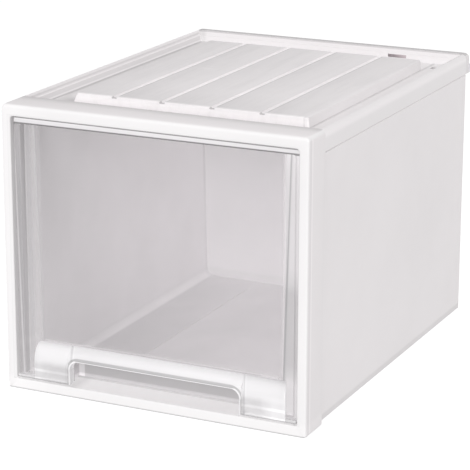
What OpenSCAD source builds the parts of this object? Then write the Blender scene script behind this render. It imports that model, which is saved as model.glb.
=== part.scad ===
// Stackable drawer box: a moulded case whose top has a raised rim, a shallow channel
// and a grooved plateau, with one clear-fronted drawer that slides out of its front.
// Origin at the centre of the footprint on the surface it stands on.
// +X to the right seen from the front, +Y to the back, +Z up. Millimetres.

/* [Case] */
// Overall width over the rim and the front frame
case_w = 300; // [280:1:340]
// Overall depth from the front frame to the rear rim
case_d = 400; // [340:1:440]
// Overall height to the top of the rim
case_h = 268; // [240:1:300]
// Wall thickness of the side, back and base panels
panel_t = 2.4; // [1.8:0.1:2.8]
// How far the side panels stand in from the width of the rim
side_inset = 1.8; // [1.8:0.1:2.4]

/* [Front frame] */
// Width of the frame's two uprights seen from the front
frame_side = 9.3; // [8.5:0.1:12]
// Height of the frame's top member
frame_top = 11; // [10:0.5:14]
// Height of the frame's sill
frame_sill = 10; // [9.5:0.5:12]
// Depth of the frame
frame_depth = 34; // [30:1:38]
// Wall thickness of the frame's channel
frame_skin = 1.8; // [1.4:0.1:1.8]
// Roundness of the frame's front edges
frame_round = 3.5; // [1:0.5:5]

/* [Top panel] */
// Roundness of the rim's outer upper edge
rim_round = 5; // [3:0.5:5]
// Width of the rim along the sides
rim_w = 5; // [5:0.5:7]
// Width of the rim along the back
rim_back_w = 12; // [12:0.5:14]
// Depth of the channel floor below the rim
moat_drop = 12; // [10:0.5:14]
// Height of the rim's outer band
band_h = 19.7; // [18:0.1:22]
// How far the plateau's top lies below the rim
plateau_drop = 2; // [1:0.5:4]
// Width of the plateau's top
plateau_w = 229.4; // [200:0.2:235]
// Distance from the frame's face to the plateau
plateau_front = 74; // [60:1:90]
// Length of the plateau
plateau_len = 277; // [220:1:285]
// Number of grooves along the plateau
groove_count = 4; // [2:1:6]
// Distance between the grooves
groove_pitch = 48.4; // [30:0.2:50]
// Width of a groove
groove_w = 4.5; // [3:0.5:6]
// Depth of a groove
groove_depth = 1.5; // [0.5:0.1:1.8]

/* [Drawer] */
// Clearance around the drawer's front in the frame
front_gap = 0.7; // [0.5:0.1:1.2]
// How far the clear pane lies behind the frame's face
pane_set = 13; // [11:0.5:14]
// Thickness of the clear pane
pane_t = 2.2; // [1.8:0.1:3]
// Wall thickness of the tray
tray_t = 1.8; // [1.4:0.1:2.2]
// Half of the tray's outer width at its top
tray_half_top = 126.6; // [120:0.1:127]
// Half of the tray's outer width at its floor
tray_half_floor = 121.9; // [115:0.1:124]
// Distance from the frame's face to the tray's back wall, outside
tray_back = 356.8; // [300:0.2:365]
// Roundness of the tray's floor edges
tray_round = 10; // [6:1:14]
// Roundness of the tray's rear upright corners
tray_corner = 4; // [3:0.5:8]
// How far the drawer opens
drawer_travel = 300; // [200:10:300]

/* [Pull] */
// Half of the finger slot's width
slot_half = 87.3; // [60:0.1:95]
// Height of the finger slot's upper edge
slot_top = 34; // [30:0.5:36]
// Roundness of the finger slot's upper corners
slot_round = 8.5; // [3:0.5:12]
// Half of the pull's length
pull_half = 124; // [110:1:130]
// Height at which the pull leaves the pane
pull_top = 45; // [42:0.5:50]

/* [Hidden] */
$fn = 72;
hw = case_w / 2;
open_x = hw - frame_side;             // frame opening, half width
open_top = case_h - frame_top;
rim_in = hw - rim_w;                  // inner face of the side rims
rear_in = case_d - rim_back_w;        // inner face of the rear rim
moat_z = case_h - moat_drop;
floor_z = moat_z - 2.4;               // underside of the channel floor
band_z = case_h - band_h;             // lower edge of the rim's band
side_out = hw - side_inset;           // outer face of the side panels
side_in = side_out - panel_t;
side_top = band_z - 2;                // shoulder under the band
side_bottom = 3.5;
back_out = case_d - 5;
plat_top = case_h - plateau_drop;
plat_half = plateau_w / 2;
plat_base = plat_half + 4.8;
flange_top = 249;
flange_half = tray_half_top + 10.4;
runner_top = flange_top - 3.5;
stop_back = 40;                       // rear face of the drawer stops
lug_front = stop_back + drawer_travel + 1;
front_x = open_x - front_gap;
front_bottom = frame_sill + 1;
front_top = open_top - 0.6;
bead_front = 7.5;
pocket_half = slot_half + 3.4;
pocket_roof = max(pull_top - 5.5, slot_top + 4);
white = [0.93, 0.93, 0.94];
shade = [0.86, 0.86, 0.87];
clear = [0.80, 0.82, 0.83, 0.45];
cloudy = [0.78, 0.79, 0.80, 0.60];

// Everything below is measured from the frame's face and set back to the centred frame.
module placed() { translate([0, -case_d / 2, 0]) children(); }

function arc(cx, cy, r, a0, a1, n) =
    [for (i = [0 : n]) [cx + r * cos(a0 + (a1 - a0) * i / n), cy + r * sin(a0 + (a1 - a0) * i / n)]];

// box given by two corners
module block(a, b) { translate(a) cube([b[0] - a[0], b[1] - a[1], b[2] - a[2]]); }

// outline in X and Z, extruded from y0 to y1
module along_y(y0, y1) { translate([0, y1, 0]) rotate([90, 0, 0]) linear_extrude(y1 - y0) children(); }

// outline in Y and Z, extruded from x0 to x1
module along_x(x0, x1) { translate([x0, 0, 0]) rotate([90, 0, 90]) linear_extrude(x1 - x0) children(); }

// rectangle from a to b with its own radius at each corner: [low-left, low-right, up-right, up-left]
module rounded(a, b, r) {
    p = [[a[0], a[1]], [b[0], a[1]], [b[0], b[1]], [a[0], b[1]]];
    s = [[1, 1], [-1, 1], [-1, -1], [1, -1]];
    difference() {
        translate(a) square([b[0] - a[0], b[1] - a[1]]);
        for (i = [0 : 3]) if (r[i] > 0)
            difference() {
                translate([p[i][0] + (s[i][0] > 0 ? -1 : -r[i]), p[i][1] + (s[i][1] > 0 ? -1 : -r[i])])
                    square(r[i] + 1);
                translate([p[i][0] + s[i][0] * r[i], p[i][1] + s[i][1] * r[i]]) circle(r[i]);
            }
    }
}

module both_sides() { children(); mirror([1, 0, 0]) children(); }

module front_frame() {
    color(white) placed() difference() {
        intersection() {
            along_y(0, frame_depth) rounded([-hw, 0], [hw, case_h], [3, 3, rim_round, rim_round]);
            linear_extrude(case_h) rounded([-hw, 0], [hw, frame_depth], [frame_round, frame_round, 0, 0]);
            along_x(-hw, hw) rounded([0, 0], [frame_depth, case_h], [frame_round, 3, 0, frame_round]);
        }
        // opening for the drawer
        along_y(-1, frame_depth + 1) rounded([-open_x, frame_sill], [open_x, open_top], [2, 2, 3, 3]);
        // channel open to the back
        along_y(frame_skin, frame_depth + 1) difference() {
            rounded([-hw + frame_skin, frame_skin], [hw - frame_skin, case_h - frame_skin], [2, 2, 3.2, 3.2]);
            rounded([-open_x - frame_skin, frame_sill - frame_skin], [open_x + frame_skin, open_top + frame_skin], [2, 2, 3, 3]);
        }
        // seat for the top panel's front upstand
        block([-hw + frame_skin, frame_depth - 2.4, floor_z], [hw - frame_skin, frame_depth + 1, case_h - frame_skin]);
    }
}

module plateau_outline(drop, inset) {
    polygon([[-plat_base + inset, moat_z - drop], [-plat_half + inset, plat_top - drop],
             [plat_half - inset, plat_top - drop], [plat_base - inset, moat_z - drop]]);
}

// what lies beyond the plateau's bevelled corners, or in from them by a wall thickness;
// each bevel keeps its width from the base to the top, so it leans with the sides
module plateau_corners(wall) {
    lean = atan(4.8 / moat_to_top() / sqrt(2));
    for (m = [0, 1]) mirror([m, 0, 0]) {
        translate([plat_half - 4 - wall, plateau_front, plat_top]) rotate([0, -lean, -45]) translate([0, -50, -40]) cube([20, 100, 80]);
        translate([plat_half - 4 - wall, plateau_front + plateau_len, plat_top]) rotate([0, -lean, 45]) translate([0, -50, -40]) cube([20, 100, 80]);
    }
}

function moat_to_top() = plat_top - moat_z;

module top_panel() {
    color(white) placed() difference() {
        union() {
            difference() {
                // outside of the rim and its band
                intersection() {
                    along_y(frame_depth, case_d) rounded([-hw, band_z], [hw, case_h], [0, 0, rim_round, rim_round]);
                    along_x(-hw, hw) rounded([frame_depth, band_z], [case_d, case_h], [0, 0, rim_round, 0]);
                    union() {
                        linear_extrude(case_h - 11) rounded([-hw, frame_depth], [hw, case_d], [0, 0, 0.8, 0.8]);
                        linear_extrude(case_h) rounded([-hw, frame_depth], [hw, case_d], [0, 0, 6, 6]);
                    }
                }
                // channel round the plateau, with a small step in its walls
                translate([0, 0, case_h - 5.1]) linear_extrude(10)
                    rounded([-rim_in, frame_depth - 1], [rim_in, rear_in], [0, 0, 3, 3]);
                translate([0, 0, moat_z]) linear_extrude(10)
                    rounded([-rim_in + 0.7, frame_depth - 1], [rim_in - 0.7, rear_in], [0, 0, 3, 3]);
                // hollow of the band
                block([-hw + 2, frame_depth - 1, band_z - 1], [hw - 2, case_d - 2, floor_z]);
                // hollow of the rear rim
                block([-hw + 7, rear_in + 2, floor_z - 1], [hw - 7, case_d - 2, case_h - 2]);
            }
            // upstand under the frame's top skin
            block([-hw + frame_skin + 0.1, frame_depth - 2.4, floor_z], [hw - frame_skin - 0.1, frame_depth + 0.01, case_h - frame_skin]);
            // plateau
            difference() {
                along_y(plateau_front, plateau_front + plateau_len) plateau_outline(0, 0);
                plateau_corners(0);
            }
        }
        // hollow under the plateau
        difference() {
            union() {
                along_y(plateau_front + 2.6, plateau_front + plateau_len - 2.6) intersection() {
                    plateau_outline(3, 1.2);
                    translate([-plat_base + 4, moat_z - 5]) square([2 * plat_base - 8, 20]);
                }
                block([-plat_base + 4, plateau_front + 2.6, floor_z - 1], [plat_base - 4, plateau_front + plateau_len - 2.6, moat_z - 1]);
            }
            plateau_corners(3.2);
        }
        // grooves, open at both ends
        for (i = [0 : groove_count - 1])
            translate([(i - (groove_count - 1) / 2) * groove_pitch, 0, 0])
                block([-groove_w / 2, plateau_front - 1, plat_top - groove_depth], [groove_w / 2, plateau_front + plateau_len + 1, plat_top + 1]);
        // slot in the rear rim and notch in the channel floor, right-hand side only
        block([66, rear_in - 1, moat_z + 1], [86, rear_in + 3, moat_z + 5.5]);
        block([111, 362, floor_z - 1], [118, 374, moat_z + 1]);
    }
}

module side_panel() {
    // main face with a rounded rear corner and a return along the back
    translate([0, 0, side_bottom]) linear_extrude(side_top - side_bottom) {
        translate([side_in, frame_depth - 8]) square([panel_t, back_out - 4 - frame_depth + 8]);
        intersection() {
            difference() {
                translate([side_out - 4, back_out - 4]) circle(4);
                translate([side_out - 4, back_out - 4]) circle(4 - panel_t);
            }
            translate([side_out - 4, back_out - 4]) square(5);
        }
        translate([130, back_out - panel_t]) square([side_out - 4 - 130, panel_t]);
    }
    // tongue set inward, hidden in the band
    block([side_in - 0.8, frame_depth, side_top - 0.6], [side_in + 1.6, rear_in, floor_z]);
    // upright stiffeners on the inside
    for (y = [95, 165, 235, 305]) block([side_in - 1.6, y, 20], [side_in + 0.5, y + 2, 222]);
    // ledge under the base panel's edge
    block([side_in - 3, 60, side_bottom], [side_in + 0.5, 340, side_bottom + 0.5]);
}

module left_side_panel() { color(white) placed() mirror([1, 0, 0]) side_panel(); }

module right_side_panel() { color(white) placed() side_panel(); }

module back_panel() {
    color(white) placed() difference() {
        union() {
            block([-129.8, back_out - panel_t, side_bottom], [129.8, back_out, case_h - 6]);
            both_sides() block([125, back_out - 2 * panel_t, side_bottom], [side_out - 4.1, back_out - panel_t, floor_z]);
            // stiffening ribs on the inside
            for (x = [-75, 0, 75]) block([x - 1, back_out - panel_t - 2.4, 22], [x + 1, back_out - panel_t + 0.5, 236]);
        }
        // shallow field pressed into the outside
        along_y(back_out - 0.6, back_out + 1) rounded([-112, 24], [112, 232], [8, 8, 8, 8]);
    }
}

module base_panel() {
    color(shade) placed() difference() {
        union() {
            block([-side_in + 0.1, frame_depth + 1, 4], [side_in - 0.1, back_out - 2 * panel_t, 6.4]);
            // tongue in the frame's sill
            block([-open_x, frame_depth - 10, 4], [open_x, frame_depth + 2, 6.4]);
            // upturned edges
            both_sides() block([side_in - 2.5, frame_depth + 4, 6], [side_in - 0.1, 386, 15]);
            block([-side_in + 2, back_out - 3 * panel_t, 6], [side_in - 2, back_out - 2 * panel_t, 15]);
            // ribs underneath
            for (x = [-92, -46, 0, 46, 92]) block([x - 1, frame_depth + 6, 1.2], [x + 1, 346, 4.5]);
            for (y = [96, 158, 220, 282, 344]) block([-138, y - 1, 1.2], [138, y + 1, 4.5]);
        }
        // edge clearance for the side panels' stiffeners
        for (m = [0, 1]) mirror([m, 0, 0]) for (y = [95, 165, 235, 305])
            block([side_in - 1.8, y - 0.3, 8], [side_in + 1, y + 2.3, 30]);
    }
}

module rear_feet() {
    color(shade) placed() both_sides()
        linear_extrude(4) rounded([98, 354], [138, 384], [4, 4, 4, 4]);
}

module runner() {
    // shelf that the tray's flange slides on, and its wall leg
    difference() {
        union() {
            block([tray_half_top + 1.9, 36, runner_top - 2.3], [side_in, 386, runner_top]);
            block([side_in - 2.2, 36, 224], [side_in, 386, runner_top]);
            // gussets
            for (y = [40 : 57 : 382]) along_y(y, y + 2)
                polygon([[side_in - 2, runner_top - 2], [tray_half_top + 4, runner_top - 2], [tray_half_top + 4, runner_top - 4], [side_in - 2, 228]]);
        }
        // room for the side panel's stiffeners
        for (y = [95, 165, 235, 305]) block([side_in - 1.8, y - 0.3, 200], [side_in + 1, y + 2.3, 222.5]);
    }
}

module left_runner() { color(shade) placed() mirror([1, 0, 0]) runner(); }

module right_runner() { color(shade) placed() runner(); }

module drawer_stops() {
    color(shade) placed() both_sides() union() {
        block([127, stop_back - 4, flange_top + 1], [137, stop_back, floor_z]);
        block([127, stop_back - 4, floor_z - 1.6], [137, stop_back + 14, floor_z]);
    }
}

function tray_side(z, half_top, half_floor) = half_floor + (half_top - half_floor) * (z - 10.6) / (flange_top - 10.6);

// cross-section of the tray, seen from the front, between the floor height z0 and the rim
module tray_outline(z0, t, r, top) {
    a = tray_side(z0, tray_half_top, tray_half_floor) - t;
    b = tray_side(top, tray_half_top, tray_half_floor) - t;
    e = tray_side(z0 + r, tray_half_top, tray_half_floor) - t;
    right = concat([[b, top]], arc(e - r, z0 + r, r, 0, -90, 10));
    left = [for (i = [len(right) - 1 : -1 : 0]) [-right[i][0], right[i][1]]];
    polygon(concat(right, left));
}

module tray_plan(half, back, r) { rounded([-half, 0], [half, back], [0, 0, r, r]); }

module drawer_tray() {
    front = pane_set + pane_t;
    color(cloudy) placed() difference() {
        union() {
            intersection() {
                along_y(front, tray_back) tray_outline(10.6, 0, tray_round, flange_top);
                linear_extrude(case_h) tray_plan(tray_half_top, tray_back, tray_corner);
            }
            // flange round the top with a turned-down edge
            translate([0, 0, flange_top - 1.8]) linear_extrude(1.8) intersection() {
                tray_plan(flange_half, tray_back + 9, tray_corner + 9);
                translate([-200, front]) square([400, 400]);
            }
            translate([0, 0, flange_top - 3]) linear_extrude(3) intersection() {
                difference() {
                    tray_plan(flange_half, tray_back + 9, tray_corner + 9);
                    translate([0, -1]) tray_plan(flange_half - 1.6, tray_back + 8.4, tray_corner + 7.4);
                }
                translate([-200, front]) square([400, 400]);
            }
        }
        // inside
        intersection() {
            along_y(-1, tray_back - tray_t) tray_outline(10.6 + 2, tray_t, tray_round - tray_t, flange_top + 1);
            linear_extrude(case_h) tray_plan(tray_half_top - tray_t, tray_back - tray_t, tray_corner - tray_t);
        }
        // room for the finger pocket
        block([-pocket_half - 2, 0, 5], [pocket_half + 2, 30.2, 14]);
        // shallow groove moulded into the floor, left of the middle
        block([-61, 60, 12.1], [-59.2, 330, 20]);
    }
}

module tray_lugs() {
    // upstanding lugs at the rear of the tray's flange: they meet the stops when the drawer is fully out
    color(cloudy) placed() both_sides() union() {
        block([128, lug_front, flange_top], [136, lug_front + 3, flange_top + 2.5]);
        block([128, lug_front, flange_top], [136, lug_front + 12, flange_top + 1.2]);
    }
}

module drawer_front() {
    color(clear) placed() difference() {
        union() {
            along_y(pane_set, pane_set + pane_t) rounded([-front_x, front_bottom], [front_x, front_top], [2, 2, 3, 3]);
            // bead round the edge
            along_y(bead_front, pane_set + 0.1) difference() {
                rounded([-front_x, front_bottom], [front_x, front_top], [2, 2, 3, 3]);
                rounded([-front_x + 6, front_bottom + 3], [front_x - 6, front_top - 7.4], [2, 2, 3, 3]);
            }
        }
        // room for the pull and the finger pocket
        block([-pull_half - 0.05, -1, 0], [pull_half + 0.05, pane_set, 30]);
        along_y(-1, 40) rounded([-pocket_half, 0], [pocket_half, pocket_roof - 2], [0, 0, 6, 6]);
    }
}

// upper surface of the pull from the pane to its front edge, as a curve in Y and Z
function lip_curve(y0, z0, y1, z1, swell, n) =
    [for (i = [0 : n]) let(t = i / n) [y0 + (y1 - y0) * t, z0 + (z1 - z0) * t + swell * 4 * t * (1 - t)]];

// rolled face of the pull's ends: a quarter ellipse from the pane down to the upright face
function end_curve(wall, n) =
    [for (i = [0 : n]) let(t = 90 * i / n) [pane_set - (pane_set - 1 - wall) * sin(t), 28 + (pull_top - 28 - wall) * cos(t)]];

module slot_outline(grow) {
    rounded([-slot_half - grow, 0], [slot_half + grow, slot_top + grow], [0, 0, slot_round + grow, slot_round + grow]);
}

module drawer_pull() {
    lip_z = 37.3;
    foot = front_bottom + 0.2;
    color(clear) placed() union() {
        // middle: a thin lip with an upright front edge
        along_x(-slot_half - 0.5, slot_half + 0.5) polygon(concat(
            lip_curve(pane_set, pull_top, 1, lip_z, 1.3, 10),
            [[1, slot_top], [3.2, slot_top], [3.2, slot_top + 1.8], [3.6, slot_top + 3.2]],
            lip_curve(4.4, slot_top + 4.2, pane_set, pull_top - 2.4, 1.0, 8)));
        // ends: rolled over into an upright face, hollow behind
        both_sides() difference() {
            along_x(slot_half, pull_half) polygon(concat(end_curve(0, 18), [[1, foot]], [[pane_set, foot]]));
            along_x(slot_half + 1.8, pull_half - 2) polygon(concat([[pane_set + 1, pull_top - 2.2]], end_curve(2.2, 18), [[3.2, 0]], [[pane_set + 1, 0]]));
            along_x(slot_half - 1, slot_half + 2) translate([8.5, 0]) square([10, pull_top - 3]);
        }
        // return round the slot
        difference() {
            along_y(1, 8.5) intersection() {
                slot_outline(1.8);
                translate([-200, foot]) square([400, 100]);
            }
            along_y(0, 10) slot_outline(0);
        }
        // web between the slot's upper corners and the lip
        both_sides() along_y(1, 3.2) difference() {
            translate([slot_half - slot_round, slot_top - slot_round]) square([slot_round + 0.5, slot_round + 1.8]);
            slot_outline(0);
        }
    }
}

module finger_pocket() {
    // the recess behind the slot: back wall, ends and roof
    y0 = pane_set + pane_t;
    color(cloudy) placed() difference() {
        block([-pocket_half - 1.8, y0, front_bottom], [pocket_half + 1.8, 30, pocket_roof]);
        block([-pocket_half, y0 - 1, front_bottom - 1], [pocket_half, 28, pocket_roof - 2]);
    }
}

front_frame();
top_panel();
left_side_panel();
right_side_panel();
back_panel();
base_panel();
rear_feet();
left_runner();
right_runner();
drawer_stops();
drawer_tray();
drawer_front();
drawer_pull();
finger_pocket();
tray_lugs();
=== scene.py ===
# Looks for the stackable drawer box: white moulded case, clear drawer front, cloudy tray.
import math

import bpy
import bmesh
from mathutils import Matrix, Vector


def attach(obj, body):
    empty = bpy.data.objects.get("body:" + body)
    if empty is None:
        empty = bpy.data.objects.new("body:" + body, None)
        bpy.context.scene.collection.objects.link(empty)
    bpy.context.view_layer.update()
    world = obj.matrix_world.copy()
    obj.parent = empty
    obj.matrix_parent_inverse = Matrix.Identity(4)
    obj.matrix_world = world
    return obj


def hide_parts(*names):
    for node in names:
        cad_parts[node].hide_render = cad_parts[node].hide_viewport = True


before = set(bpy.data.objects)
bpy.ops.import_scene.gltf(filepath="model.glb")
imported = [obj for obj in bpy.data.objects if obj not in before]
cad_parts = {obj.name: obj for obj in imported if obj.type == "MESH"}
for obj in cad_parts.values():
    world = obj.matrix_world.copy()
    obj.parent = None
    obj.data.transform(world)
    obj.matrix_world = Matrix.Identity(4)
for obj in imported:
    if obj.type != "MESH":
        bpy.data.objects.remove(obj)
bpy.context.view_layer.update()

scene = bpy.context.scene
scene.view_settings.view_transform = "Standard"
scene.view_settings.look = "None"
scene.view_settings.exposure = 0.0
scene.view_settings.gamma = 1.0

# ---------------------------------------------------------------- camera
def aim(obj, target, roll=0.0):
    d = Vector(target) - obj.location
    q = d.to_track_quat("-Z", "Y")
    obj.rotation_euler = q.to_euler()
    if roll:
        obj.rotation_euler.rotate_axis("Z", math.radians(roll))


cam_data = bpy.data.cameras.new("camera")
cam_data.lens = 163.2
cam_data.sensor_width = 36.0
cam_data.clip_start = 0.05
cam_data.clip_end = 60.0
cam = bpy.data.objects.new("camera", cam_data)
scene.collection.objects.link(cam)
cam.location = (0.836, -1.7809, 0.6866)
aim(cam, (0.0099, -0.050, 0.1267), 0.106)
scene.camera = cam

# ---------------------------------------------------------------- mesh helpers (millimetres, y from the frame's face)
def P(x, y, z):
    return (x / 1000.0, (y - 200.0) / 1000.0, z / 1000.0)


def rr(x0, x1, v0, v1, r, n=6):
    """Rounded rectangle as points (u, v), counter-clockwise from the low-left corner; r = (ll, lr, ur, ul)."""
    pts = []
    for cx, cy, rad, a0 in ((x0, v0, r[0], 180), (x1, v0, r[1], 270), (x1, v1, r[2], 0), (x0, v1, r[3], 90)):
        ox = cx + (rad if cx == x0 else -rad)
        oy = cy + (rad if cy == v0 else -rad)
        for i in range(n + 1):
            a = math.radians(a0 + 90.0 * i / n)
            pts.append((ox + rad * math.cos(a), oy + rad * math.sin(a)))
    return pts


def new_object(name, bm, smooth=35.0):
    bmesh.ops.recalc_face_normals(bm, faces=bm.faces)
    me = bpy.data.meshes.new(name)
    bm.to_mesh(me)
    bm.free()
    o = bpy.data.objects.new(name, me)
    scene.collection.objects.link(o)
    if smooth:
        for p in me.polygons:
            p.use_smooth = True
        me.set_sharp_from_angle(angle=math.radians(smooth))
    return o


def loft(bm, rings, closed_ring=True, closed_loft=False, caps=False):
    """Skin through equal rings of (x, y, z) in millimetres."""
    vs = [[bm.verts.new(P(*p)) for p in ring] for ring in rings]
    m = len(vs[0])
    last = len(vs) if closed_loft else len(vs) - 1
    for i in range(last):
        a, b = vs[i], vs[(i + 1) % len(vs)]
        for j in range(m if closed_ring else m - 1):
            k = (j + 1) % m
            try:
                bm.faces.new((a[j], a[k], b[k], b[j]))
            except ValueError:
                pass
    if caps:
        bm.faces.new(vs[0])
        bm.faces.new(list(reversed(vs[-1])))
    return vs


def slab(bm, a, b):
    """Plain block between two corners, in millimetres; some callers bevel its edges afterwards."""
    rings = [[(a[0], a[1], z), (b[0], a[1], z), (b[0], b[1], z), (a[0], b[1], z)] for z in (a[2], b[2])]
    loft(bm, rings, caps=True)


def bevel_sharp(bm, width, segs=3, angle=40.0):
    edges = [e for e in bm.edges if len(e.link_faces) == 2 and e.calc_face_angle(0) > math.radians(angle)]
    bmesh.ops.bevel(bm, geom=edges, offset=width / 1000.0, segments=segs, profile=0.5, affect="EDGES", clamp_overlap=True)


def boolean(obj, tool, operation="DIFFERENCE", smooth=35):
    """Applies tool to obj and removes tool."""
    mod = obj.modifiers.new("cut", "BOOLEAN")
    mod.operation = operation
    mod.solver = "EXACT"
    mod.object = tool
    bpy.context.view_layer.update()
    dg = bpy.context.evaluated_depsgraph_get()
    me = bpy.data.meshes.new_from_object(obj.evaluated_get(dg))
    obj.modifiers.clear()
    old = obj.data
    obj.data = me
    bpy.data.meshes.remove(old)
    bpy.data.objects.remove(tool)
    for p in me.polygons:
        p.use_smooth = True
    me.set_sharp_from_angle(angle=math.radians(smooth))


def cut(obj, name, a, b, bevel=0.0):
    """Takes a block out of obj."""
    bm = bmesh.new()
    slab(bm, a, b)
    if bevel:
        bevel_sharp(bm, bevel, 3)
    boolean(obj, new_object(name, bm, smooth=None))


def along_x(name, outline, x0, x1, smooth=30, ends=0.0):
    """Solid from an outline of (y, z) between x0 and x1; ends rounds the two end edges by insets."""
    bm = bmesh.new()
    cy = sum(p[0] for p in outline) / len(outline)
    cz = sum(p[1] for p in outline) / len(outline)
    steps = [(x0, ends), (x0 + 0.3 * ends, 0.3 * ends), (x0 + ends, 0.0), (x1 - ends, 0.0), (x1 - 0.3 * ends, 0.3 * ends), (x1, ends)] if ends else [(x0, 0), (x1, 0)]
    rings = []
    for x, d in steps:
        ring = []
        for y, z in outline:
            l = math.hypot(y - cy, z - cz)
            k = (l - d) / l if l > d else 0.3
            ring.append((x, cy + (y - cy) * k, cz + (z - cz) * k))
        rings.append(ring)
    loft(bm, rings, caps=True)
    return new_object(name, bm, smooth)


# ---------------------------------------------------------------- materials
class Mat:
    """Small builder for node materials."""

    def __init__(self, name):
        self.m = bpy.data.materials.new(name)
        self.m.use_nodes = True
        self.t = self.m.node_tree
        self.bsdf = self.t.nodes["Principled BSDF"]
        self.coord = self.t.nodes.new("ShaderNodeTexCoord")

    def node(self, kind, **kw):
        n = self.t.nodes.new(kind)
        for k, v in kw.items():
            if k in n.inputs.keys():
                n.inputs[k].default_value = v
            else:
                setattr(n, k, v)
        return n

    def link(self, a, b):
        self.t.links.new(a, b)

    def noise(self, scale, detail=3.0, stretch=(1, 1, 1), rough=0.5):
        mp = self.node("ShaderNodeMapping")
        mp.inputs["Scale"].default_value = stretch
        self.link(self.coord.outputs["Object"], mp.inputs["Vector"])
        nz = self.node("ShaderNodeTexNoise")
        nz.inputs["Scale"].default_value = scale
        nz.inputs["Detail"].default_value = detail
        nz.inputs["Roughness"].default_value = rough
        self.link(mp.outputs["Vector"], nz.inputs["Vector"])
        return nz.outputs["Fac"]

    def ramp(self, fac, stops):
        r = self.node("ShaderNodeValToRGB")
        el = r.color_ramp.elements
        el[0].position, el[0].color = stops[0][0], stops[0][1]
        el[1].position, el[1].color = stops[-1][0], stops[-1][1]
        for pos, col in stops[1:-1]:
            e = el.new(pos)
            e.color = col
        self.link(fac, r.inputs["Fac"])
        return r.outputs["Color"]

    def remap(self, fac, lo, hi, a, b):
        r = self.node("ShaderNodeMapRange")
        r.inputs["From Min"].default_value = lo
        r.inputs["From Max"].default_value = hi
        r.inputs["To Min"].default_value = a
        r.inputs["To Max"].default_value = b
        self.link(fac, r.inputs["Value"])
        return r.outputs["Result"]

    def bump(self, heights):
        """heights: list of (socket, strength, distance in m); chained."""
        prev = None
        for h, s, d in heights:
            b = self.node("ShaderNodeBump")
            b.inputs["Strength"].default_value = s
            b.inputs["Distance"].default_value = d
            self.link(h, b.inputs["Height"])
            if prev is not None:
                self.link(prev, b.inputs["Normal"])
            prev = b.outputs["Normal"]
        self.link(prev, self.bsdf.inputs["Normal"])


def grey(v, warm=0.0):
    return (v * (1 + warm), v, v * (1 + warm * 0.3), 1.0)


def place(b, axis, absolute=False):
    """Object coordinate in metres along one axis."""
    sep = b.node("ShaderNodeSeparateXYZ")
    b.link(b.coord.outputs["Object"], sep.inputs[0])
    out = sep.outputs[axis]
    if absolute:
        m = b.node("ShaderNodeMath")
        m.operation = "ABSOLUTE"
        b.link(out, m.inputs[0])
        out = m.outputs[0]
    return out


def profile(b, axis, stops, absolute=False, warm=0.0):
    """Value along one axis, from (millimetres, value) pairs; values up to 2."""
    lo, hi = stops[0][0] / 1000.0, stops[-1][0] / 1000.0
    fac = b.remap(place(b, axis, absolute), lo, hi, 0.0, 1.0)
    return b.ramp(fac, [((p / 1000.0 - lo) / (hi - lo), grey(v, warm)) for p, v in stops])


def profile_of(b, socket, stops, warm=0.0):
    """The same along any coordinate given in metres."""
    lo, hi = stops[0][0] / 1000.0, stops[-1][0] / 1000.0
    fac = b.remap(socket, lo, hi, 0.0, 1.0)
    return b.ramp(fac, [((p / 1000.0 - lo) / (hi - lo), grey(v, warm)) for p, v in stops])


def maths(b, kind, a, c, d=None):
    """One arithmetic node; each operand is a socket or a number."""
    m = b.node("ShaderNodeMath")
    m.operation = kind
    for i, v in enumerate((a, c, d)):
        if v is None:
            continue
        if isinstance(v, (int, float)):
            m.inputs[i].default_value = v
        else:
            b.link(v, m.inputs[i])
    return m.outputs[0]


def slanted(b, k, shift, main="X", other="Y"):
    """x + k * y + shift, in metres: for lines that run at an angle across a curved face."""
    return maths(b, "ADD", maths(b, "MULTIPLY_ADD", place(b, other), k, place(b, main)), shift)


def round_slot(b):
    """Distance in metres outside the outline of the finger slot, which has rounded upper corners."""
    qx = maths(b, "MAXIMUM", maths(b, "SUBTRACT", place(b, "X", True), 0.0767), 0.0)
    qz = maths(b, "MAXIMUM", maths(b, "SUBTRACT", place(b, "Z"), 0.0255), 0.0)
    r = maths(b, "SQRT", maths(b, "MULTIPLY_ADD", qx, qx, maths(b, "MULTIPLY", qz, qz)), 0.0)
    return maths(b, "SUBTRACT", r, 0.0085)


def times(b, a, c):
    mx = b.node("ShaderNodeMix", data_type="RGBA", blend_type="MULTIPLY")
    mx.inputs[0].default_value = 1.0
    b.link(a, mx.inputs[6])
    b.link(c, mx.inputs[7])
    return mx.outputs[2]


def choose(b, fac, a, c):
    """a where fac is 0, c where it is 1."""
    mx = b.node("ShaderNodeMix", data_type="RGBA", blend_type="MIX")
    b.link(fac, mx.inputs[0])
    b.link(a, mx.inputs[6])
    b.link(c, mx.inputs[7])
    return mx.outputs[2]


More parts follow.
